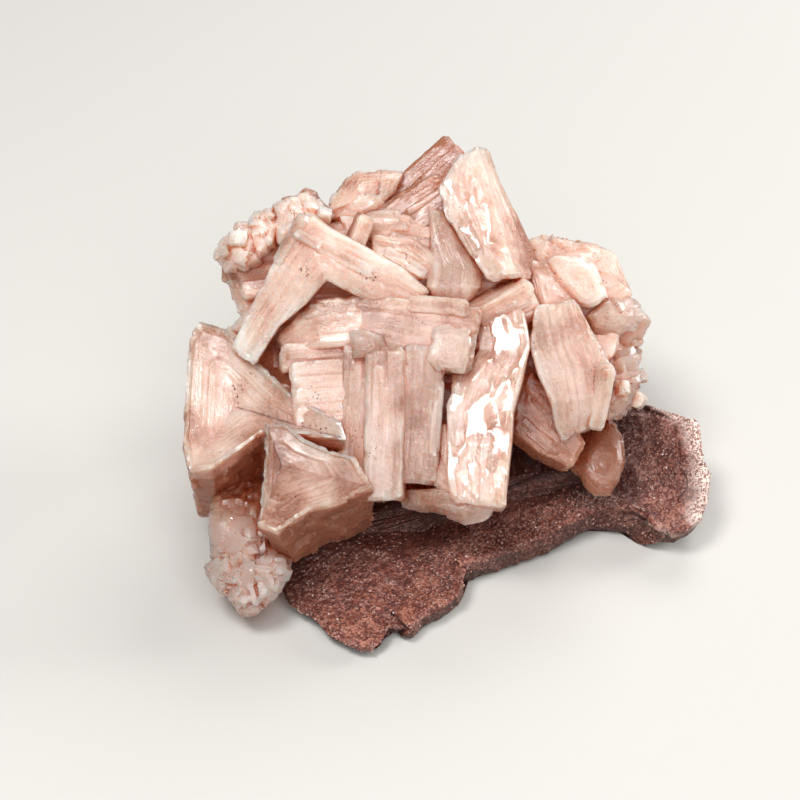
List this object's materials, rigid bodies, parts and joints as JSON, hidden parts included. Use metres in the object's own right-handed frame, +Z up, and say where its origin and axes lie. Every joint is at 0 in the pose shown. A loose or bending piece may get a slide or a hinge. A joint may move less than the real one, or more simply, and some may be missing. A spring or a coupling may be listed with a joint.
{
  "type": "halite crystal specimen",
  "caption": "Peach-pink halite crystal cluster of intergrown bars, blocks and hopper crystals on a slab of granular salt rock.",
  "frame": {"origin": "middle of the specimen's outline seen from above, on the surface that it rests on", "axes": "+Z up, -Y towards the viewer of the display face, +X to the viewer's right along the specimen's longest side"},
  "size_m": [0.1076, 0.0946, 0.0694],
  "materials": {
    "halite_crystal": "peach-pink translucent halite, glossy on fresh faces, frosty along growth lines",
    "salt_rock": "fine-grained purplish brown-pink salt rock with a matt sparkle"
  },
  "bodies": {
    "root": {"crystal_cluster": "halite_crystal", "matrix": "salt_rock"}
  },
  "joints": []
}
